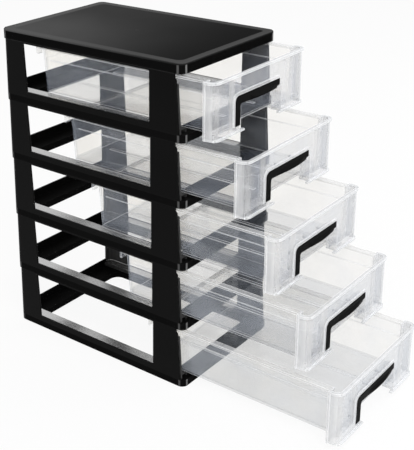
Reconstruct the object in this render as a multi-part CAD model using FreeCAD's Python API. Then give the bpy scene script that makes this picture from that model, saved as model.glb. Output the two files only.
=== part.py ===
import FreeCAD, Part
import math
import os

# A free-standing tower of five clear drawers in a stacked black frame.
# Millimetres. X is the width, the drawers pull out along -Y, Z is up.
# The origin is on the floor, in the middle of the foot strip under the frame's front edge.

# Frame, overall
frame_width = 200.0
frame_depth = 300.0
corner_radius = 9.0
frame_wall = 2.5
seam_gap = 0.3

# Tiers, from the top one down
drawer_pull_out_lengths = [31.0, 76.0, 119.5, 165.0, 210.5]
tier_height = 75.0
deck_height = 9.5
top_height = 13.5

# Ring decks between the tiers
deck_plate = 2.5
front_bar = 26.0
back_bar = 27.0
ring_corner_radius = 14.0
back_rail_rise = 11.0
foot_flange_width = 12.0
foot_flange_height = 2.2

# Side frames that stand on the decks
rail_height = 7.4
top_strip_height = 2.2
ledge_width = 15.8
ledge_thickness = 2.2
ledge_rib_thickness = 1.6
ledge_rib_depth = 4.0
ledge_rib_count = 3
post_front_foot_inset = 6.2
post_front_top_inset = 10.2
post_rear_top_inset = 2.0
window_front_foot_inset = 50.7
window_front_top_inset = 49.4
window_rear_foot_inset = 42.1
window_rear_top_inset = 39.3
rear_return_width = 9.0
front_return_width = 3.2
front_return_height = 62.0
front_notch_depth = 2.2
front_notch_height = 5.5
tab_thickness = 2.2
tab_length = 20.0
tab_depth = 5.0
tab_rise = 4.0
tab_clearance = 0.25

# Top panel
rim_width = 9.5
rim_rise = 1.8
rim_edge_width = 1.2
panel_corner_radius = 9.0
top_rib_thickness = 1.6
top_rib_depth = 5.0
top_rib_count = 2
gate_mark_diameter = 4.0
gate_mark_depth = 0.4

# Drawer bins
bin_wall = 2.0
bin_length = 268.0
bin_top_half_width = 91.0
bin_floor_half_width = 88.0
bin_corner_radius = 7.0
bin_rear_foot_inset = 2.0
runner_clearance = 0.3
rim_clearance = 0.5
drawer_top_gap = 2.5
rim_thickness = 2.8
rear_rim_width = 4.5
rear_lug_width = 9.0
rear_lug_drop = 8.0
rear_lug_thickness = 2.5
floor_rib_width = 5.0
floor_rib_height = 0.8
floor_rib_offset = 32.0
floor_rib_inset = 18.0
wall_bead_height = 54.0
wall_bead_width = 1.0
wall_bead_depth = 0.4

# Drawer fronts
front_depth = 13.0
front_corner_radius = 9.0
front_wall = 2.2
flange_thickness = 2.5
flange_edge_gap = 0.3
cheek_inset = 1.5
front_foot_gap = 0.8
top_lip_overhang = 2.2
top_lip_height = 3.0
foot_lip_overhang = 2.0
foot_lip_height = 2.4
foot_lip_tongue_length = 8.0
pocket_half_width = 46.5
pocket_depth = 14.0
pocket_height = 36.0
pocket_wall = 1.8
border_gap = 0.4
border_width = 3.6
border_depth = 1.4

# Handle trims
trim_thickness = 2.0
trim_pocket_gap = 1.0
trim_bar_width = 10.5
trim_bar_reach = 38.5
trim_bar_bow_depth = 0.8
trim_tip_width = 8.0
trim_leg_width = 10.0
trim_leg_foot_height = 9.5
trim_corner_radius = 7.0
trim_inner_corner_radius = 3.0
trim_edge_width = 0.5
grip_half_width = 34.0
grip_depth = 2.0
grip_top_drop_height = 2.0
peg_width = 2.0
peg_length = 11.0
peg_clearance = 0.15
leg_peg_heights = [14.0, 35.0]
bar_peg_height = 44.0
bar_peg_offsets = [-21.0, 12.0]

# Drawer stops
stop_thickness = 2.5
stop_depth = 4.2
stop_height = 6.0
stop_inset = 41.0
overrun_length = 1.0

half_width = frame_width / 2
half_depth = frame_depth / 2
tier_count = len(drawer_pull_out_lengths)
tier_pitch = tier_height + deck_height
drawer_height = tier_height - drawer_top_gap
rim_half_width = half_width - frame_wall - rim_clearance
rim_bottom = drawer_height - rim_thickness
bin_floor = rail_height + runner_clearance
window_sill = rail_height
corner_cut_share = 2 - math.sqrt(2)

os.makedirs("parts", exist_ok=True)


def save(shape, name):
    shape.exportStep("parts/" + name + ".step")
    print(name, "valid", shape.isValid(), "solids", len(shape.Solids), "volume", round(shape.Volume))


def block(x_low, x_high, y_low, y_high, z_low, z_high):
    corner = FreeCAD.Vector(x_low, y_low, z_low)
    return Part.makeBox(x_high - x_low, y_high - y_low, z_high - z_low, corner)


def rounded_wire(x_low, x_high, y_low, y_high, radius, z):
    """A rectangle with four rounded corners at the height z."""
    diagonal = radius * (1 - math.sqrt(0.5))
    west, east = x_low + radius, x_high - radius
    south, north = y_low + radius, y_high - radius
    corners = [
        ((east, y_low), (x_high - diagonal, y_low + diagonal), (x_high, south)),
        ((x_high, north), (x_high - diagonal, y_high - diagonal), (east, y_high)),
        ((west, y_high), (x_low + diagonal, y_high - diagonal), (x_low, north)),
        ((x_low, south), (x_low + diagonal, y_low + diagonal), (west, y_low)),
    ]
    edges = []
    previous = FreeCAD.Vector(west, y_low, z)
    for start, middle, end in corners:
        first, second, third = [FreeCAD.Vector(x, y, z) for x, y in (start, middle, end)]
        edges.append(Part.LineSegment(previous, first).toShape())
        edges.append(Part.Arc(first, second, third).toShape())
        previous = third
    return Part.Wire(edges)


def rounded_block(x_low, x_high, y_low, y_high, radius, z_low, z_high):
    outline = rounded_wire(x_low, x_high, y_low, y_high, radius, z_low)
    return Part.Face(outline).extrude(FreeCAD.Vector(0, 0, z_high - z_low))


def plate_hollow(x_half, y_half, z_low, z_high):
    """A block with its upright corners cut off, so that a rounded skirt keeps its wall there."""
    core = block(-x_half, x_half, -y_half, y_half, z_low, z_high)
    uprights = [edge for edge in core.Edges if edge.BoundBox.ZLength > (z_high - z_low) / 2]
    return core.makeChamfer((corner_radius - frame_wall) * corner_cut_share, uprights)


def side_prism(points, x_low, x_high):
    """A prism along X from an outline of (y, z) points."""
    corners = [FreeCAD.Vector(x_low, y, z) for y, z in points]
    face = Part.Face(Part.makePolygon(corners + corners[:1]))
    return face.extrude(FreeCAD.Vector(x_high - x_low, 0, 0))


def lengthwise_mirror(shape):
    """The same shape on the other side of the middle plane."""
    return shape.mirror(FreeCAD.Vector(0, 0, 0), FreeCAD.Vector(1, 0, 0))


def deck_top(tier):
    """The height of the deck that tier stands on. Tier 1 is the top one."""
    return deck_height + (tier_count - tier) * tier_pitch


def leaning(foot_inset, top_inset, z):
    """An inset that changes evenly from a tier's foot to its top, at the height z."""
    return foot_inset + (top_inset - foot_inset) * z / tier_height


def post_front(z):
    """The front edge of a side frame at the height z above its deck."""
    return -half_depth + leaning(post_front_foot_inset, post_front_top_inset, z)


def post_rear(z):
    return half_depth - leaning(0, post_rear_top_inset, z)


def window_front(z):
    return -half_depth + leaning(window_front_foot_inset, window_front_top_inset, z)


def window_rear(z):
    return half_depth - leaning(window_rear_foot_inset, window_rear_top_inset, z)


def tier_column(inset):
    """A tier's plan with its rounded rear corners, leaning as its rear does, shrunk by inset."""
    sections = []
    for z in (0, tier_height):
        sections.append(
            rounded_wire(
                -half_width + inset,
                half_width - inset,
                -half_depth - corner_radius,
                post_rear(z) - inset,
                corner_radius - inset,
                z,
            )
        )
    return Part.makeLoft(sections, True, True)


def tab_places():
    """The middles of the locating tabs, under the two posts of a side frame."""
    front = (post_front(0) + window_front(0)) / 2
    rear = (post_rear(0) + window_rear(0)) / 2
    return [front, rear]


def ring_deck(with_feet):
    """A deck: a thin ring with a turned-down skirt and a low rail at the back."""
    outer = rounded_block(
        -half_width, half_width, -half_depth, half_depth, corner_radius, -deck_height, 0
    )
    inner_x = half_width - frame_wall
    inner_y = half_depth - frame_wall
    hollow = plate_hollow(inner_x, inner_y, -deck_height - overrun_length, -deck_plate)
    ring_x = half_width - ledge_width
    opening = rounded_block(
        -ring_x,
        ring_x,
        -half_depth + front_bar,
        half_depth - back_bar,
        ring_corner_radius,
        -deck_height - overrun_length,
        overrun_length,
    )
    deck = outer.cut(hollow).cut(opening)
    lining = block(
        -ring_x - ledge_rib_thickness,
        ring_x + ledge_rib_thickness,
        -half_depth + front_bar - ledge_rib_thickness,
        half_depth - back_bar + ledge_rib_thickness,
        -deck_height,
        -deck_plate / 2,
    )
    deck = deck.fuse(lining.cut(opening))
    rail_x = half_width - frame_wall - rear_return_width - seam_gap
    rail = block(
        -rail_x, rail_x, half_depth - frame_wall, half_depth, -deck_plate, back_rail_rise
    )
    deck = deck.fuse(rail)
    if with_feet:
        inset = foot_flange_width
        foot = rounded_block(
            -half_width + overrun_length,
            half_width - overrun_length,
            -half_depth + overrun_length,
            half_depth - overrun_length,
            corner_radius - overrun_length,
            -deck_height,
            -deck_height + foot_flange_height,
        )
        foot_opening = plate_hollow(
            half_width - inset, half_depth - inset, -deck_height - overrun_length, overrun_length
        )
        deck = deck.fuse(foot.cut(foot_opening))
    slot_inner = half_width - frame_wall - tab_thickness - tab_clearance
    for middle in tab_places():
        reach = tab_length / 2 + tab_clearance
        slot = block(
            slot_inner,
            half_width - frame_wall,
            middle - reach,
            middle + reach,
            -tab_depth - tab_clearance,
            overrun_length,
        )
        deck = deck.cut(slot).cut(lengthwise_mirror(slot))
    return deck.removeSplitter()


def ledge():
    """The strip that a drawer slides on, with its lip and its ribs underneath."""
    inner_edge = half_width - ledge_width
    outer_edge = half_width - frame_wall / 2
    front = post_front(0)
    rear = half_depth - frame_wall / 2
    rib_foot = rail_height - ledge_thickness - ledge_rib_depth
    rib_top = rail_height - ledge_thickness / 2
    strip = block(inner_edge, outer_edge, front, rear, rail_height - ledge_thickness, rail_height)
    lip = block(inner_edge, inner_edge + ledge_rib_thickness, front, rear, rib_foot, rib_top)
    ribs = []
    for index in range(ledge_rib_count):
        middle = front + (rear - front) * (index + 0.5) / ledge_rib_count
        rib_front = middle - ledge_rib_thickness / 2
        rib_rear = middle + ledge_rib_thickness / 2
        ribs.append(block(inner_edge, outer_edge, rib_front, rib_rear, rib_foot, rib_top))
    rail_room = block(
        0,
        half_width - frame_wall - rear_return_width,
        half_depth - frame_wall - seam_gap,
        half_depth,
        0,
        tier_height,
    )
    return strip.fuse([lip] + ribs).common(tier_column(frame_wall / 2)).cut(rail_room)


def side_frame():
    """The right-hand frame of one tier, standing on its deck at z = 0."""
    inner_x = half_width - frame_wall
    notch_z = tier_height - front_notch_height
    lintel = tier_height - top_strip_height
    outline = [
        (post_front(0), 0),
        (half_depth, 0),
        (half_depth, tier_height),
        (post_front(tier_height) + front_notch_depth, tier_height),
        (post_front(notch_z) + front_notch_depth, notch_z),
        (post_front(notch_z), notch_z - front_notch_depth),
    ]
    window_outline = [
        (window_front(window_sill), window_sill),
        (window_rear(window_sill), window_sill),
        (window_rear(lintel), lintel),
        (window_front(lintel), lintel),
    ]
    wall = tier_column(0).cut(tier_column(frame_wall))
    frame = wall.common(side_prism(outline, inner_x - rear_return_width, half_width))
    window = side_prism(window_outline, inner_x - overrun_length, half_width + overrun_length)
    frame = frame.cut(window).fuse(ledge())
    front_outline_points = [
        (post_front(0), 0),
        (post_front(0) + frame_wall, 0),
        (post_front(front_return_height) + frame_wall, front_return_height),
        (post_front(front_return_height), front_return_height),
    ]
    outer_edge = half_width - frame_wall / 2
    front_return = side_prism(front_outline_points, inner_x - front_return_width, outer_edge)
    stop_top = rim_bottom - rim_clearance
    stop_y = -half_depth + stop_inset
    stop = block(
        inner_x - stop_depth,
        outer_edge,
        stop_y - stop_thickness,
        stop_y,
        stop_top - stop_height,
        stop_top,
    )
    frame = frame.fuse([front_return, stop])
    for middle in tab_places():
        front = middle - tab_length / 2
        rear = middle + tab_length / 2
        tab = block(inner_x - tab_thickness, inner_x, front, rear, -tab_depth, tab_rise)
        skirt_gap = block(
            inner_x - tab_clearance, inner_x, front, rear, -tab_depth - overrun_length, 0
        )
        frame = frame.fuse(tab.cut(skirt_gap))
    return frame.removeSplitter()


def top_panel():
    """The cover of the tower, with a raised rim around a sunken panel."""
    outer = rounded_block(
        -half_width, half_width, -half_depth, half_depth, corner_radius, 0, top_height
    )
    top_edges = [edge for edge in outer.Edges if edge.BoundBox.ZMin > top_height - rim_edge_width]
    outer = outer.makeChamfer(rim_edge_width, top_edges)
    upper = rounded_wire(
        -half_width + rim_width,
        half_width - rim_width,
        -half_depth + rim_width,
        half_depth - rim_width,
        panel_corner_radius,
        top_height,
    )
    lower = rounded_wire(
        -half_width + rim_width + rim_rise,
        half_width - rim_width - rim_rise,
        -half_depth + rim_width + rim_rise,
        half_depth - rim_width - rim_rise,
        panel_corner_radius - rim_rise,
        top_height - rim_rise,
    )
    recess = Part.makeLoft([lower, upper], True, True)
    hollow = plate_hollow(
        half_width - frame_wall,
        half_depth - frame_wall,
        -overrun_length,
        top_height - rim_rise - deck_plate,
    )
    gate_mark = Part.makeCylinder(
        gate_mark_diameter / 2,
        gate_mark_depth + rim_rise,
        FreeCAD.Vector(0, 0, top_height - rim_rise - gate_mark_depth),
    )
    panel = outer.cut(hollow).cut(recess).cut(gate_mark)
    rib_top = top_height - rim_rise - deck_plate / 2
    rib_bottom = top_height - rim_rise - deck_plate - top_rib_depth
    reach = half_depth - frame_wall / 2
    ribs = []
    for index in range(top_rib_count):
        left = -half_width + frame_width * (index + 1) / (top_rib_count + 1) - top_rib_thickness / 2
        ribs.append(block(left, left + top_rib_thickness, -reach, reach, rib_bottom, rib_top))
    return panel.fuse(ribs).removeSplitter()


def front_outline(offset, back):
    """The bowed front in plan, grown by offset, as a face at z = 0. It ends behind at y = back."""
    side = half_width - cheek_inset + offset
    face = -front_depth - offset
    radius = front_corner_radius + offset
    diagonal = radius * (1 - math.sqrt(0.5))
    points = [
        FreeCAD.Vector(-side, back, 0),
        FreeCAD.Vector(-side, face + radius, 0),
        FreeCAD.Vector(-side + diagonal, face + diagonal, 0),
        FreeCAD.Vector(-side + radius, face, 0),
        FreeCAD.Vector(side - radius, face, 0),
        FreeCAD.Vector(side - diagonal, face + diagonal, 0),
        FreeCAD.Vector(side, face + radius, 0),
        FreeCAD.Vector(side, back, 0),
    ]
    edges = [
        Part.LineSegment(points[0], points[1]).toShape(),
        Part.Arc(points[1], points[2], points[3]).toShape(),
        Part.LineSegment(points[3], points[4]).toShape(),
        Part.Arc(points[4], points[5], points[6]).toShape(),
        Part.LineSegment(points[6], points[7]).toShape(),
        Part.LineSegment(points[7], points[0]).toShape(),
    ]
    return Part.Face(Part.Wire(edges))


def front_prism(offset, back, z_low, z_high):
    face = front_outline(offset, back)
    face.translate(FreeCAD.Vector(0, 0, z_low))
    return face.extrude(FreeCAD.Vector(0, 0, z_high - z_low))


def tapered_box(inset, y_front, z_low, z_high):
    """The bin's body, drafted at the sides and the rear, shrunk by inset."""
    radius = bin_corner_radius - inset
    sections = []
    for z in (z_low, z_high):
        share = (z - bin_floor) / (drawer_height - bin_floor)
        half = bin_floor_half_width + (bin_top_half_width - bin_floor_half_width) * share - inset
        rear = bin_length - bin_rear_foot_inset * (1 - share) - inset
        sections.append(rounded_wire(-half, half, y_front, rear, radius, z))
    return Part.makeLoft(sections, True, True)


def drawer_bin():
    """A clear drawer at y = 0 on its flange's front face and z = 0 at its deck's top."""
    body = tapered_box(0, -bin_corner_radius, bin_floor, drawer_height)
    body = body.cut(block(-half_width, half_width, -front_depth - overrun_length, 0, 0, tier_height))
    flange_x = half_width - flange_edge_gap
    flange = block(-flange_x, flange_x, 0, flange_thickness, front_foot_gap, drawer_height)
    bow = front_prism(0, flange_thickness, front_foot_gap, drawer_height)
    top_lip = front_prism(top_lip_overhang, 0, drawer_height - top_lip_height, drawer_height)
    foot_lip_top = front_foot_gap + foot_lip_height
    foot_lip = front_prism(foot_lip_overhang, 0, front_foot_gap, foot_lip_top)
    lip_end = pocket_half_width - foot_lip_tongue_length
    foot_lip = foot_lip.cut(
        block(-lip_end, lip_end, -half_depth, half_depth, -overrun_length, tier_height)
    )
    tongue_keep_out = block(
        -frame_width, frame_width, -front_depth + front_wall, half_depth, -overrun_length, bin_floor
    )
    side_rim = rounded_block(
        -rim_half_width,
        rim_half_width,
        -bin_corner_radius,
        bin_length + rear_rim_width,
        bin_corner_radius,
        rim_bottom,
        drawer_height,
    )
    side_rim = side_rim.cut(
        block(-half_width, half_width, -half_depth, flange_thickness / 2, 0, tier_height)
    )
    lugs = []
    for side in (-1, 1):
        outer_x = side * (rim_half_width - overrun_length)
        inner_x = outer_x - side * rear_lug_width
        lugs.append(
            block(
                min(outer_x, inner_x),
                max(outer_x, inner_x),
                bin_length + rear_rim_width - rear_lug_thickness - overrun_length,
                bin_length + rear_rim_width - overrun_length,
                rim_bottom - rear_lug_drop,
                drawer_height - rim_thickness / 2,
            )
        )
    shell = body.fuse([flange, bow, top_lip, side_rim] + lugs)

    cavity_floor = bin_floor + bin_wall
    cavity = tapered_box(bin_wall, -bin_corner_radius, cavity_floor, drawer_height + overrun_length)
    cavity = cavity.cut(block(-half_width, half_width, -front_depth, 0, 0, drawer_height + tier_height))
    bow_cavity = front_prism(-front_wall, 0, cavity_floor, drawer_height + overrun_length)
    under_wall = 1.5 * front_wall
    under_x = half_width - cheek_inset - under_wall
    under_y = -front_depth + under_wall
    under_front = block(-under_x, under_x, under_y, 0, -overrun_length, bin_floor)
    shell = shell.cut(cavity.fuse(bow_cavity)).cut(under_front)

    pocket_x = pocket_half_width
    pocket_back = pocket_depth - front_depth
    pocket_shell = block(
        -pocket_x - pocket_wall,
        pocket_x + pocket_wall,
        -front_depth,
        pocket_back + pocket_wall,
        front_foot_gap,
        pocket_height + pocket_wall,
    )
    pocket = block(
        -pocket_x, pocket_x, -front_depth - foot_lip_overhang, pocket_back, -overrun_length, pocket_height
    )
    below_pocket = block(
        -pocket_x, pocket_x, -front_depth - foot_lip_overhang, front_depth, -overrun_length, bin_floor
    )
    shell = shell.fuse(pocket_shell).cut(pocket).cut(below_pocket)
    shell = shell.fuse(foot_lip.cut(tongue_keep_out).cut(front_prism(-front_wall, 0, 0, tier_height)))

    shell = shell.fuse(trim_border())

    ribs = []
    for side in (-1, 1):
        middle = side * floor_rib_offset
        ribs.append(
            block(
                middle - floor_rib_width / 2,
                middle + floor_rib_width / 2,
                floor_rib_inset,
                bin_length - floor_rib_inset,
                cavity_floor - bin_wall / 2,
                cavity_floor + floor_rib_height,
            )
        )
    for side in (-1, 1):
        share = (wall_bead_height - bin_floor) / (drawer_height - bin_floor)
        wall_x = bin_floor_half_width + (bin_top_half_width - bin_floor_half_width) * share - bin_wall
        edges = sorted([side * (wall_x - wall_bead_depth), side * (wall_x + bin_wall / 2)])
        ribs.append(
            block(
                edges[0],
                edges[1],
                flange_thickness,
                bin_length - 2 * bin_corner_radius,
                wall_bead_height - wall_bead_width / 2,
                wall_bead_height + wall_bead_width / 2,
            )
        )
    shell = shell.fuse(ribs)
    hole_reach = peg_width / 2 + peg_clearance
    for x, z in peg_places():
        hole = block(
            x - hole_reach,
            x + hole_reach,
            -front_depth - overrun_length,
            -front_depth + front_wall + overrun_length,
            z - hole_reach,
            z + hole_reach,
        )
        shell = shell.cut(hole)
    return shell.removeSplitter()


def trim_bar_height():
    """The top edge of the trim's bar."""
    return pocket_height + trim_bar_width


def trim_leg_inner():
    """The edge of the trim's leg beside the finger pocket."""
    return -pocket_half_width - trim_pocket_gap


def rounded_corner(x, z, radius, toward_x, toward_z):
    """An arc on the front face that rounds the corner at x, z: its start, middle and end."""
    diagonal = radius * (1 - math.sqrt(0.5))
    start = FreeCAD.Vector(x, -front_depth, z + toward_z * radius)
    middle = FreeCAD.Vector(x + toward_x * diagonal, -front_depth, z + toward_z * diagonal)
    end = FreeCAD.Vector(x + toward_x * radius, -front_depth, z)
    return start, middle, end


def front_point(x, z):
    """A sharp corner on the front face, as a turn of one point."""
    return (FreeCAD.Vector(x, -front_depth, z),)


def front_wire(turns):
    """An outline on the front face from its turns: each is one point, or an arc's three."""
    edges = []
    last = turns[-1][-1]
    for turn in turns:
        if (turn[0] - last).Length > 0:
            edges.append(Part.LineSegment(last, turn[0]).toShape())
        if len(turn) > 1:
            edges.append(Part.Arc(*turn).toShape())
        last = turn[-1]
    return Part.Wire(edges)


def trim_border():
    """The raised clear border along the outer edges of the trim."""

    def band_edge(offset):
        left = trim_leg_inner() - trim_leg_width - offset
        top = trim_bar_height() + offset
        foot = front_point(left, trim_leg_foot_height)
        corner = rounded_corner(left, top, trim_corner_radius + offset, 1, -1)
        return [foot, corner, front_point(trim_bar_reach, top)]

    outer = band_edge(border_gap + border_width)
    inner = [turn[::-1] for turn in reversed(band_edge(border_gap))]
    outline = Part.Face(front_wire(outer + inner))
    return outline.extrude(FreeCAD.Vector(0, -border_depth, 0))


def peg_places():
    """Where the trim's pegs go through the front: two on the leg, two on the bar."""
    leg_x = trim_leg_inner() - trim_leg_width / 2
    leg_pegs = [(leg_x, z) for z in leg_peg_heights]
    return leg_pegs + [(x, bar_peg_height) for x in bar_peg_offsets]


def finger_grip():
    """The swelling in the middle of the trim's bar, deepest along its lower edge."""
    face_y = -front_depth - trim_thickness / 2
    tip_y = -front_depth - trim_thickness - grip_depth
    grip_low = pocket_height - trim_bar_bow_depth / 2
    grip_high = trim_bar_height() - grip_top_drop_height
    side = [
        (face_y, grip_low),
        (tip_y, grip_low),
        (tip_y, grip_low + trim_edge_width),
        (face_y, grip_high),
    ]
    wedge = side_prism(side, -grip_half_width, grip_half_width)
    ends = [
        FreeCAD.Vector(-grip_half_width, face_y, grip_low),
        FreeCAD.Vector(0, tip_y, grip_low),
        FreeCAD.Vector(grip_half_width, face_y, grip_low),
    ]
    plan = Part.Wire([
        Part.Arc(*ends).toShape(),
        Part.LineSegment(ends[2], ends[0]).toShape(),
    ])
    swelling = Part.Face(plan).extrude(FreeCAD.Vector(0, 0, trim_bar_width))
    return wedge.common(swelling)


def trim_outline(inset, depth):
    """The trim's outline, shrunk by inset, at a depth in front of the front face."""
    leg_inner = trim_leg_inner() - inset
    leg_outer = trim_leg_inner() - trim_leg_width + inset
    bar_low = pocket_height + inset
    bar_high = trim_bar_height() - inset
    reach = trim_bar_reach - inset
    tip_low = front_point(reach, trim_bar_height() - trim_tip_width + inset)
    bow_middle = front_point((reach + leg_inner) / 2, bar_low - trim_bar_bow_depth)
    outer_corner = rounded_corner(leg_outer, bar_high, trim_corner_radius - inset, 1, -1)
    inner_corner = rounded_corner(leg_inner, bar_low, trim_inner_corner_radius + inset, 1, -1)
    turns = [
        front_point(leg_outer, trim_leg_foot_height + inset),
        outer_corner,
        front_point(reach, bar_high),
        tip_low + bow_middle + inner_corner[2:],
        inner_corner[::-1],
        front_point(leg_inner, trim_leg_foot_height + inset),
    ]
    outline = front_wire(turns)
    outline.translate(FreeCAD.Vector(0, -depth, 0))
    return outline


def handle_trim():
    """The dark corner-shaped trim beside and above the finger pocket, with its four pegs."""
    face_y = -front_depth
    rim_depth = trim_thickness - trim_edge_width
    plate = Part.Face(trim_outline(0, 0)).extrude(FreeCAD.Vector(0, -rim_depth, 0))
    sloped_edge = [trim_outline(0, rim_depth), trim_outline(trim_edge_width, trim_thickness)]
    plate = plate.fuse(Part.makeLoft(sloped_edge, True, True))
    reach = peg_width / 2
    pegs = []
    for x, z in peg_places():
        pegs.append(block(x - reach, x + reach, face_y, face_y + peg_length, z - reach, z + reach))
    return plate.fuse([finger_grip()] + pegs).removeSplitter()


def placed(shape, y, z):
    """A copy at its place, moved so that the origin lies on the base's front foot strip."""
    copy = shape.copy()
    copy.translate(FreeCAD.Vector(0, y + half_depth - foot_flange_width / 2, z))
    return copy


right_frame = side_frame()
left_frame = lengthwise_mirror(right_frame)
middle_deck = ring_deck(False)
clear_bin = drawer_bin()
trim = handle_trim()

save(placed(ring_deck(True), 0, deck_height), "base_deck")
save(placed(top_panel(), 0, tier_count * tier_pitch), "top_panel")
for tier, pull_out in enumerate(drawer_pull_out_lengths, start=1):
    z = deck_top(tier)
    if tier < tier_count:
        save(placed(middle_deck, 0, z), "deck_" + str(tier))
    save(placed(left_frame, 0, z), "side_left_" + str(tier))
    save(placed(right_frame, 0, z), "side_right_" + str(tier))
    save(placed(clear_bin, -half_depth - pull_out, z), "drawer_" + str(tier))
    save(placed(trim, -half_depth - pull_out, z), "handle_trim_" + str(tier))
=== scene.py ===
import bpy
import math
from mathutils import Matrix, Vector

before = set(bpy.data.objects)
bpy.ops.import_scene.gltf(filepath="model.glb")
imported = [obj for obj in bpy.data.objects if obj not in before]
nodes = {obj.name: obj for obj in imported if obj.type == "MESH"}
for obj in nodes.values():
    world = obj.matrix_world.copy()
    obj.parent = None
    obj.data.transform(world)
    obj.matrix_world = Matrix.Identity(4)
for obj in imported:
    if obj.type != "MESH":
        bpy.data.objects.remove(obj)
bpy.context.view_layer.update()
scene = bpy.context.scene
scene.view_settings.view_transform = "Standard"
scene.cycles.transparent_max_bounces = 64

# Camera, fitted to the photograph. Angles in degrees, lengths in metres
CAMERA_AZIMUTH = -51.25
CAMERA_ELEVATION = 21.15
CAMERA_ROLL = -0.77
CAMERA_PLACE = (-0.97457, -0.66886, 0.74544)
CAMERA_REACH = (0.01, 50.0)
SENSOR_WIDTH = 36.0
PHOTO_PIXELS = 450.0
FOCAL_PIXELS = 994.11
SHIFT_X_PIXELS = 50.0
SHIFT_Y_PIXELS = -66.7

# Places on the solids, in metres. Tier 1 is the top one
TIERS = 5
TIER_PITCH = 0.0845
DECK_HEIGHT = 0.0095
PULL_OUTS = [0.031, 0.076, 0.1195, 0.165, 0.2105]
FRONT_Y = -0.006
MIDDLE_Y = 0.144
TOP_Z = 0.436
CORNER_X = 0.091
CORNER_Y = 0.141
CORNER_REACH_SQUARED = 7.5e-5

# Edges between two looks: where the change begins and where it ends.
# On the top panel the heights count from its top, the depths from the middle.
TOP_RIM_Z = (-0.0013, -0.0002)
TOP_SKIRT_Z = (-0.0032, -0.0022)
# The painted sheen on the top panel: where it fades across the sunken panel and along the raised
# rim
TOP_SHEEN_Y = (-0.17, 0.16)
TOP_SHEEN_X = (-0.1, 0.07)
TOP_RIM_SHEEN_Y = (-0.1, 0.15)

# On the side frames the heights count from the deck
INNER_FACE_X = (0.0977, 0.0979)
LEDGE_X = (0.0976, 0.0978)
LEDGE_Y = (0.044, 0.045)

# On the drawers and trims the depths count from the drawer's front, the heights from its deck
FRONT_WALL_Y = (0.0024, 0.0030)
RIM_Z = (0.0693, 0.0698)
FOOT_Z = (0.0030, 0.0038)
FLANGE_X = (0.0962, 0.0972)
BORDER_Y = (-0.0136, -0.0132)
POCKET_X = (0.0460, 0.0470)
POCKET_Y = (-0.0135, -0.0132)
POCKET_Z = (0.0355, 0.0365)
FLOOR_Z = (0.0118, 0.0124)
FOOT_LINE_Y = (0.0032, 0.0036)
FOOT_LINE_Z = (0.0022, 0.0028)
REAR_CORNER_X = (0.078, 0.083)
REAR_CORNER_Y = (0.258, 0.264)
REAR_WALLS_Y = (0.02, 0.2)
TRIM_PEG_Y = (-0.0130, -0.0126)
TRIM_PEG_TIP_Y = (-0.0034, -0.0031)

# Lines: the middle, half the width, and the soft edge on each side
LEDGE_LINE_Z = (0.0074, 0.0003, 0.0002)
FLOOR_RIB_X = (0.032, 0.0025, 0.0005)
WALL_BEAD_Z = (0.054, 0.0005, 0.0003)
FLOOR_LINE_Y = (0.002, 0.0013, 0.0003)
FLOOR_LINE_Z = (0.0088, 0.0010, 0.0003)
PEG_LINE_X = (0.0625, 0.0035, 0.003)
CHEEK_LINE_X = (0.0915, 0.0025, 0.003)
FIRST_GLINT = [math.radians(angle) for angle in (12.0, 4.0, 9.0)]
SECOND_GLINT = [math.radians(angle) for angle in (82.0, 5.0, 9.0)]
FIRST_GLINT_SHARE = 0.45

# Noise
CLOUD_EDGE = (0.3, 0.7)
CLOUD_DETAIL = 3.0
FINE_DETAIL = 2.0
FINE_ROUGHNESS = 0.6
GRAIN_DEPTH = 0.0002
GRAIN_STRENGTH = 0.1
BEVEL_SAMPLES = 6
# Edges on black parts that get a lighter colour, partly wear and partly painted highlight
BLACK_WEAR_AND_SHEEN = (0.03, 0.25)

# How much each part of a drawer adds to its frost
FRONT_FROST = 0.12
STREAK_FROST = 0.08
PEG_FROST = 0.12
CHEEK_FROST = 0.10
RIM_FROST = 0.20
FOOT_FROST = 0.16
FLANGE_FROST = 0.20
BORDER_FROST = 0.22
RIB_FROST = 0.07
BEAD_FROST = 0.05
REAR_CORNER_FROST = 0.05
LINE_FROST = 0.25
# The edges' share is a painted highlight
EDGE_HIGHLIGHT_SHARE = 0.85

# The drawers' haze in the top tier, and how it grows towards the bottom one. This growth and the
# whiter milk lower down are painted light: the upper drawers darker in the top panel's shade,
# the lower ones lighter
HAZE = (0.020, 0.040)
PAINTED_LIGHT_HAZE_GROWTH = 2.1
HAZE_CURVE = 1.5
MILK_TOP = (0.62, 0.71, 0.92)
PAINTED_LIGHT_MILK_GROWTH = (0.18, 0.16, 0.07)

# Colours
FROST_WHITE = (0.80, 0.808, 0.820, 1.0)
# Painted highlight along the drawers' edges
EDGE_HIGHLIGHT_WHITE = (0.98, 0.985, 0.99, 1.0)
THROUGH_FRONT_END = (0.990, 0.982, 0.967, 1.0)
THROUGH_REAR_END = (0.992, 0.984, 0.967, 1.0)
THROUGH_FLOOR = (0.895, 0.890, 0.880, 1.0)
THROUGH_FRONT_WALL = (0.955, 0.951, 0.947, 1.0)
THROUGH_EDGE_ON = (0.55, 0.56, 0.58, 1.0)
SHINE = (0.90, 0.94, 1.0, 1.0)
PEG_PALE = (0.62, 0.64, 0.67, 1.0)
WHITE = (1.0, 1.0, 1.0, 1.0)

# Studio
WORLD_LIGHT = 0.6
WORLD_SEEN = 1.0
FLOOR_REACH = 6.0
FLOOR_GLOW_SHARE = 0.9
LIGHT_TARGET = (0.0, 0.05, 0.2)


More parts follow.
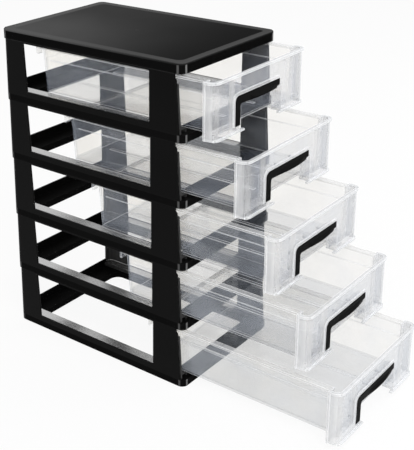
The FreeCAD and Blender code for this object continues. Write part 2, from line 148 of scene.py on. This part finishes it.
def make_camera():
    azimuth, elevation, roll = (
        math.radians(angle) for angle in (CAMERA_AZIMUTH, CAMERA_ELEVATION, CAMERA_ROLL)
    )
    level = math.cos(elevation)
    ahead = Vector((-math.sin(azimuth) * level, math.cos(azimuth) * level, -math.sin(elevation)))
    right = Vector((math.cos(azimuth), math.sin(azimuth), 0.0))
    up = right.cross(ahead)
    turned_right = right * math.cos(roll) + up * math.sin(roll)
    turned_up = up * math.cos(roll) - right * math.sin(roll)
    data = bpy.data.cameras.new("photo_camera")
    data.sensor_width = SENSOR_WIDTH
    data.lens = FOCAL_PIXELS * SENSOR_WIDTH / PHOTO_PIXELS
    data.shift_x = SHIFT_X_PIXELS / PHOTO_PIXELS
    data.shift_y = SHIFT_Y_PIXELS / PHOTO_PIXELS
    data.clip_start, data.clip_end = CAMERA_REACH
    camera = bpy.data.objects.new("photo_camera", data)
    scene.collection.objects.link(camera)
    turn = Matrix((turned_right, turned_up, -ahead)).transposed().to_4x4()
    camera.matrix_world = Matrix.Translation(Vector(CAMERA_PLACE)) @ turn
    scene.camera = camera


class Tree:
    """The node tree of a material or a world, with short ways to add nodes."""

    def __init__(self, owner):
        self.owner = owner
        owner.use_nodes = True
        self.tree = owner.node_tree
        self.tree.nodes.clear()

    def node(self, kind, **values):
        made = self.tree.nodes.new(kind)
        for key, value in values.items():
            setattr(made, key, value)
        return made

    def feed(self, socket, value):
        if isinstance(value, bpy.types.NodeSocket):
            self.tree.links.new(value, socket)
        else:
            socket.default_value = value

    def math(self, operation, a, b=0.0, c=0.0):
        made = self.node("ShaderNodeMath", operation=operation)
        for socket, value in zip(made.inputs, (a, b, c)):
            self.feed(socket, value)
        return made.outputs[0]

    def both(self, a, b):
        return self.math("MULTIPLY", a, b)

    def step(self, value, edge, out_low=0.0, out_high=1.0):
        """A soft change from out_low to out_high between the two ends of edge."""
        made = self.node("ShaderNodeMapRange", interpolation_type="SMOOTHSTEP")
        for socket, given in zip(made.inputs, (value, edge[0], edge[1], out_low, out_high)):
            self.feed(socket, given)
        return made.outputs[0]

    def below(self, value, edge):
        return self.step(value, edge, 1.0, 0.0)

    def near(self, value, line):
        """1 on a line and 0 away from it."""
        middle, half, soft = line
        away = self.math("ABSOLUTE", self.math("SUBTRACT", value, middle))
        return self.below(away, (half, half + soft))

    def place(self):
        """The place on the part, as a vector and as X, Y and Z."""
        coordinates = self.node("ShaderNodeTexCoord")
        split = self.node("ShaderNodeSeparateXYZ")
        self.feed(split.inputs[0], coordinates.outputs["Object"])
        return coordinates.outputs["Object"], split.outputs

    def noise(self, vector, scale, detail=CLOUD_DETAIL, roughness=0.5):
        made = self.node("ShaderNodeTexNoise")
        self.feed(made.inputs["Vector"], vector)
        made.inputs["Scale"].default_value = scale
        made.inputs["Detail"].default_value = detail
        made.inputs["Roughness"].default_value = roughness
        return made.outputs[0]

    def streaks(self, vector, scales, detail=FINE_DETAIL):
        made = self.node("ShaderNodeVectorMath", operation="MULTIPLY")
        self.feed(made.inputs[0], vector)
        made.inputs[1].default_value = scales
        return self.noise(made.outputs[0], 1.0, detail, FINE_ROUGHNESS)

    def bump(self, height, distance, strength):
        made = self.node("ShaderNodeBump")
        self.feed(made.inputs["Height"], height)
        made.inputs["Distance"].default_value = distance
        made.inputs["Strength"].default_value = strength
        return made.outputs[0]

    def mix_colour(self, share, a, b):
        made = self.node("ShaderNodeMix", data_type="RGBA")
        self.feed(made.inputs[0], share)
        self.feed(made.inputs[6], a)
        self.feed(made.inputs[7], b)
        return made.outputs[2]

    def mix_shader(self, share, a, b):
        made = self.node("ShaderNodeMixShader")
        for socket, value in zip(made.inputs, (share, a, b)):
            self.feed(socket, value)
        return made.outputs[0]

    def seen(self):
        """1 for rays that show a surface by itself, by a gloss or through a clear piece."""
        path = self.node("ShaderNodeLightPath")
        seen = self.math("MAXIMUM", path.outputs["Is Camera Ray"], path.outputs["Is Glossy Ray"])
        return self.math("MAXIMUM", seen, path.outputs["Is Transmission Ray"])

    def out(self, surface, kind="ShaderNodeOutputMaterial"):
        made = self.node(kind)
        self.feed(made.inputs["Surface"], surface)
        return self.owner


def new_material(name):
    return Tree(bpy.data.materials.new(name))


def grey(level):
    return (level, level, level, 1.0)


def edge_mask(t, radius, edge):
    """1 on the edges of a solid and 0 on its faces."""
    bevel = t.node("ShaderNodeBevel", samples=BEVEL_SAMPLES)
    bevel.inputs["Radius"].default_value = radius
    geometry = t.node("ShaderNodeNewGeometry")
    dot = t.node("ShaderNodeVectorMath", operation="DOT_PRODUCT")
    t.feed(dot.inputs[0], bevel.outputs[0])
    t.feed(dot.inputs[1], geometry.outputs["Normal"])
    return t.step(t.math("SUBTRACT", 1.0, dot.outputs["Value"]), edge)


def wear_and_sheen(t, base, radius, edge, share, level):
    """The base colour, lighter along the edges: partly wear, partly a painted highlight."""
    return t.mix_colour(t.both(edge_mask(t, radius, edge), share), base, grey(level))


def corner_glints(t, axes):
    """Two upright glints where the rounded corners of a deck or the top begin."""
    side = t.math("SUBTRACT", t.math("ABSOLUTE", axes[0]), CORNER_X)
    along = t.math("ABSOLUTE", t.math("SUBTRACT", axes[1], MIDDLE_Y))
    ahead = t.math("SUBTRACT", along, CORNER_Y)
    turn = t.math("ARCTAN2", ahead, side)
    reach = t.math("ADD", t.math("POWER", side, 2.0), t.math("POWER", ahead, 2.0))
    outside = t.math("GREATER_THAN", reach, CORNER_REACH_SQUARED)
    beside = t.math("GREATER_THAN", side, 0.0)
    first = t.both(t.near(turn, FIRST_GLINT), FIRST_GLINT_SHARE)
    second = t.near(turn, SECOND_GLINT)
    return t.both(t.both(t.math("MAXIMUM", first, second), outside), beside)


def plastic(t, base, roughness, specular, normal):
    shader = t.node("ShaderNodeBsdfPrincipled")
    t.feed(shader.inputs["Base Color"], base)
    t.feed(shader.inputs["Roughness"], roughness)
    shader.inputs["Specular IOR Level"].default_value = specular
    t.feed(shader.inputs["Normal"], normal)
    return shader


def black_plastic(t, vector, broad, base, roughness, specular, grain_scale):
    """A near-black plastic with a fine grain, its roughness following the broad noise."""
    grain = t.noise(vector, grain_scale, FINE_DETAIL, FINE_ROUGHNESS)
    roughness = t.step(broad, CLOUD_EDGE, *roughness)
    normal = t.bump(grain, GRAIN_DEPTH, GRAIN_STRENGTH)
    return plastic(t, base, roughness, specular, normal).outputs[0]


def top_plastic(name):
    """Black, with painted sheen: a fade from the rear left to the front right on the sunken
    panel, a lighter raised rim and painted glints on the corners.
    """
    t = new_material(name)
    vector, axes = t.place()
    depth = t.math("SUBTRACT", axes[1], MIDDLE_Y)
    height = t.math("SUBTRACT", axes[2], TOP_Z)
    broad = t.noise(vector, 7.0)
    # Painted sheen: the sunken panel lighter towards the rear left, standing in for its
    # reflection
    glow = t.both(t.step(depth, TOP_SHEEN_Y), t.step(axes[0], TOP_SHEEN_X, 1.0, 0.5))
    glow = t.both(glow, t.step(broad, (0.2, 0.8), 0.85, 1.15))
    sunk = t.mix_colour(glow, grey(0.012), grey(0.083))
    # Painted sheen: the raised rim lighter, more so towards the rear
    raised_rim_sheen = t.mix_colour(t.step(depth, TOP_RIM_SHEEN_Y), grey(0.065), grey(0.095))
    skirt = t.below(height, TOP_SKIRT_Z)
    base = t.mix_colour(t.step(height, TOP_RIM_Z), sunk, raised_rim_sheen)
    base = t.mix_colour(skirt, base, grey(0.0045))
    # Lighter edges, partly wear and partly painted highlight
    base = wear_and_sheen(t, base, 0.0009, (0.02, 0.2), 0.5, 0.12)
    # Painted highlights: two glints on each corner of the skirt
    base = t.mix_colour(t.both(corner_glints(t, axes), skirt), base, grey(0.17))
    return t.out(black_plastic(t, vector, broad, base, (0.42, 0.52), 0.0, 1800.0))


def deck_plastic(name):
    """Black, with two painted highlights on each corner."""
    t = new_material(name)
    vector, axes = t.place()
    broad = t.noise(vector, 9.0)
    base = t.mix_colour(broad, grey(0.0030), grey(0.0058))
    base = wear_and_sheen(t, base, 0.0008, BLACK_WEAR_AND_SHEEN, 0.35, 0.03)
    # Painted highlights: two glints on each corner
    base = t.mix_colour(corner_glints(t, axes), base, grey(0.15))
    return t.out(black_plastic(t, vector, broad, base, (0.36, 0.46), 0.005, 2500.0))


def side_plastic(name):
    """Black, with inner faces lighter as painted light, and a polished top on each ledge whose
    lighter grey is partly rub marks, partly painted sheen.
    """
    t = new_material(name)
    vector, axes = t.place()
    side = t.math("ABSOLUTE", axes[0])
    height = t.math("FLOORED_MODULO", t.math("SUBTRACT", axes[2], DECK_HEIGHT), TIER_PITCH)
    broad = t.noise(vector, 9.0)
    base = t.mix_colour(broad, grey(0.0016), grey(0.0040))
    upright = t.streaks(vector, (220.0, 220.0, 6.0))
    # Painted light: the inner faces lighter than the outer ones
    inner = t.mix_colour(upright, grey(0.022), grey(0.06))
    base = t.mix_colour(t.below(side, INNER_FACE_X), base, inner)
    base = wear_and_sheen(t, base, 0.0007, BLACK_WEAR_AND_SHEEN, 0.3, 0.03)
    body = black_plastic(t, vector, broad, base, (0.36, 0.46), 0.04, 2500.0)
    ledge = t.both(t.near(height, LEDGE_LINE_Z), t.below(side, LEDGE_X))
    ledge = t.both(ledge, t.step(axes[1], LEDGE_Y))
    lines = t.streaks(vector, (900.0, 4.0, 4.0))
    # Partly rub marks, partly painted sheen: the ledge's top lighter grey
    rubbed_and_sheen = t.mix_colour(t.step(lines, (0.35, 0.7)), grey(0.09), grey(0.03))
    polished = plastic(t, rubbed_and_sheen, 0.24, 1.0, t.bump(lines, GRAIN_DEPTH, 0.15))
    polished.inputs["IOR"].default_value = 3.0
    return t.out(t.mix_shader(ledge, body, polished.outputs[0]))


def trim_plastic(name, front_y):
    """Black, with pale pegs behind the drawer's front."""
    t = new_material(name)
    vector, axes = t.place()
    back = t.math("SUBTRACT", axes[1], front_y)
    broad = t.noise(vector, 30.0)
    base = t.mix_colour(broad, grey(0.002), grey(0.0045))
    base = wear_and_sheen(t, base, 0.0005, BLACK_WEAR_AND_SHEEN, 0.35, 0.03)
    base = t.mix_colour(t.step(back, TRIM_PEG_Y), base, PEG_PALE)
    base = t.mix_colour(t.step(back, TRIM_PEG_TIP_Y), base, grey(0.09))
    return t.out(black_plastic(t, vector, broad, base, (0.4, 0.5), 0.02, 3000.0))


def drawer_frost(t, vector, side, back, height, plain_front, floor, edges, haze_and_painted_light):
    """How milky each part of a drawer is, beyond the haze of the whole. Along the edges the milk
    is a painted highlight.
    """
    front = t.below(back, FRONT_WALL_Y)
    across = t.below(side, POCKET_X)
    streaks = t.step(t.streaks(vector, (120.0, 120.0, 22.0), CLOUD_DETAIL), (0.38, 0.66))
    floor_line = t.both(t.near(height, FLOOR_LINE_Z), t.near(back, FLOOR_LINE_Y))
    foot_line = t.both(t.below(height, FOOT_LINE_Z), t.below(back, FOOT_LINE_Y))
    rear_corner = t.both(t.step(back, REAR_CORNER_Y), t.step(side, REAR_CORNER_X))
    parts = (
        (t.both(plain_front, streaks), STREAK_FROST / haze_and_painted_light),
        (t.both(plain_front, t.near(side, PEG_LINE_X)), PEG_FROST),
        (t.both(plain_front, t.near(side, CHEEK_LINE_X)), CHEEK_FROST),
        (t.step(height, RIM_Z), RIM_FROST),
        (t.both(t.below(height, FOOT_Z), front), FOOT_FROST),
        (t.both(t.step(side, FLANGE_X), front), FLANGE_FROST),
        (t.below(back, BORDER_Y), BORDER_FROST),
        (t.both(t.near(side, FLOOR_RIB_X), floor), RIB_FROST),
        (t.near(height, WALL_BEAD_Z), BEAD_FROST),
        (rear_corner, REAR_CORNER_FROST),
        (t.both(across, floor_line), LINE_FROST),
        (t.both(across, foot_line), LINE_FROST),
        # Painted highlight along the edges
        (edges, EDGE_HIGHLIGHT_SHARE),
    )
    frost = t.both(plain_front, FRONT_FROST)
    for mask, amount in parts:
        frost = t.math("MULTIPLY_ADD", mask, amount, frost)
    return frost


def clear_plastic(name, deck_z, front_y, haze_and_painted_light, milk):
    """See-through where it is plain, milky where it is frosted, glossy all over, and white along
    the edges as a painted highlight.
    """
    t = new_material(name)
    vector, axes = t.place()
    side = t.math("ABSOLUTE", axes[0])
    back = t.math("SUBTRACT", axes[1], front_y)
    height = t.math("SUBTRACT", axes[2], deck_z)
    floor = t.below(height, FLOOR_Z)
    pocket = t.both(t.below(side, POCKET_X), t.below(height, POCKET_Z))
    pocket = t.both(pocket, t.step(back, POCKET_Y))
    plain_front = t.both(t.below(back, FRONT_WALL_Y), t.math("SUBTRACT", 1.0, pocket))
    edges = edge_mask(t, 0.0011, (0.03, 0.16))
    frost = drawer_frost(t, vector, side, back, height, plain_front, floor, edges, haze_and_painted_light)
    cloud = t.step(t.noise(vector, 22.0), CLOUD_EDGE, HAZE[0] * haze_and_painted_light, HAZE[1] * haze_and_painted_light)
    normal = t.bump(t.noise(vector, 60.0, FINE_DETAIL), 0.0006, 0.12)

    scatter = t.mix_colour(t.step(frost, (0.03, 0.2)), milk, FROST_WHITE)
    # Painted highlight: the edges whiter
    scatter = t.mix_colour(edges, scatter, EDGE_HIGHLIGHT_WHITE)
    body = plastic(t, scatter, 0.3, 0.3, normal)

    facing = t.node("ShaderNodeLayerWeight")
    facing.inputs["Blend"].default_value = 0.5
    t.feed(facing.inputs["Normal"], normal)
    tint = t.mix_colour(t.step(back, REAR_WALLS_Y), THROUGH_FRONT_END, THROUGH_REAR_END)
    tint = t.mix_colour(floor, tint, THROUGH_FLOOR)
    tint = t.mix_colour(plain_front, tint, THROUGH_FRONT_WALL)
    edge_on = t.step(facing.outputs["Facing"], (0.82, 0.98))
    through = t.node("ShaderNodeBsdfTransparent")
    t.feed(through.inputs["Color"], t.mix_colour(edge_on, tint, THROUGH_EDGE_ON))

    shine = t.node("ShaderNodeBsdfGlossy")
    shine.inputs["Color"].default_value = SHINE
    shine.inputs["Roughness"].default_value = 0.06
    t.feed(shine.inputs["Normal"], normal)

    haze = t.math("ADD", cloud, frost)
    milky = t.mix_shader(haze, through.outputs[0], body.outputs[0])
    grazing = t.math("POWER", facing.outputs["Facing"], 5.0)
    mirror = t.math("MULTIPLY_ADD", grazing, 0.85, 0.018)
    return t.out(t.mix_shader(mirror, milky, shine.outputs[0]))


def drawer_plastic(name, tier):
    """The clear plastic of one drawer, hazier and whiter in the lower tiers as painted light:
    the upper drawers darker in the top panel's shade.
    """
    lower = (tier - 1) / (TIERS - 1)
    haze_and_painted_light = 1.0 + PAINTED_LIGHT_HAZE_GROWTH * lower ** HAZE_CURVE
    milk = [top + growth * lower for top, growth in zip(MILK_TOP, PAINTED_LIGHT_MILK_GROWTH)]
    deck_z = DECK_HEIGHT + (TIERS - tier) * TIER_PITCH
    return clear_plastic(name, deck_z, FRONT_Y - PULL_OUTS[tier - 1], haze_and_painted_light, (*milk, 1.0))


def wear_material(node, material):
    slots = nodes[node].data.materials
    if len(slots) == 0:
        slots.append(material)
    for index in range(len(slots)):
        slots[index] = material


def dress_frame():
    decks = deck_plastic("deck_black")
    sides = side_plastic("side_black")
    for name in nodes:
        if name == "top_panel":
            material = top_plastic("top_black")
        elif name.startswith("handle_trim_"):
            tier = int(name.split("_")[2])
            material = trim_plastic("trim_" + str(tier), FRONT_Y - PULL_OUTS[tier - 1])
        elif name.startswith("side_"):
            material = sides
        elif name.startswith("drawer_"):
            material = drawer_plastic("clear_" + name, int(name.split("_")[1]))
        else:
            material = decks
        wear_material(name, material)


def make_world():
    """A plain soft light that is seen as white."""
    t = Tree(bpy.data.worlds.new("studio"))
    backgrounds = []
    for strength in (WORLD_LIGHT, WORLD_SEEN):
        background = t.node("ShaderNodeBackground")
        background.inputs["Color"].default_value = WHITE
        background.inputs["Strength"].default_value = strength
        backgrounds.append(background.outputs[0])
    surface = t.mix_shader(t.seen(), *backgrounds)
    scene.world = t.out(surface, "ShaderNodeOutputWorld")


def make_floor():
    """A white floor that keeps the part's shadow faintly."""
    mesh = bpy.data.meshes.new("floor")
    turns = ((-1, -1), (1, -1), (1, 1), (-1, 1))
    corners = [(FLOOR_REACH * x, FLOOR_REACH * y, 0.0) for x, y in turns]
    mesh.from_pydata(corners, [], [(0, 1, 2, 3)])
    floor = bpy.data.objects.new("floor", mesh)
    scene.collection.objects.link(floor)
    t = new_material("floor_white")
    dull = t.node("ShaderNodeBsdfDiffuse")
    dull.inputs["Color"].default_value = grey(0.9)
    glow = t.node("ShaderNodeEmission")
    glow.inputs["Strength"].default_value = 1.0
    share = t.both(t.seen(), FLOOR_GLOW_SHARE)
    mesh.materials.append(t.out(t.mix_shader(share, dull.outputs[0], glow.outputs[0])))


def area_light(name, place, side_length, power):
    data = bpy.data.lights.new(name, "AREA")
    data.shape = "RECTANGLE"
    data.size = data.size_y = side_length
    data.energy = power
    light = bpy.data.objects.new(name, data)
    scene.collection.objects.link(light)
    light.location = place
    aim = Vector(LIGHT_TARGET) - Vector(place)
    light.rotation_mode = "QUATERNION"
    light.rotation_quaternion = aim.to_track_quat("-Z", "Y")


make_camera()
dress_frame()
make_world()
make_floor()
area_light("key", (-1.3, -1.2, 1.9), 1.4, 36.0)
area_light("fill", (1.6, -0.9, 1.3), 1.2, 14.0)
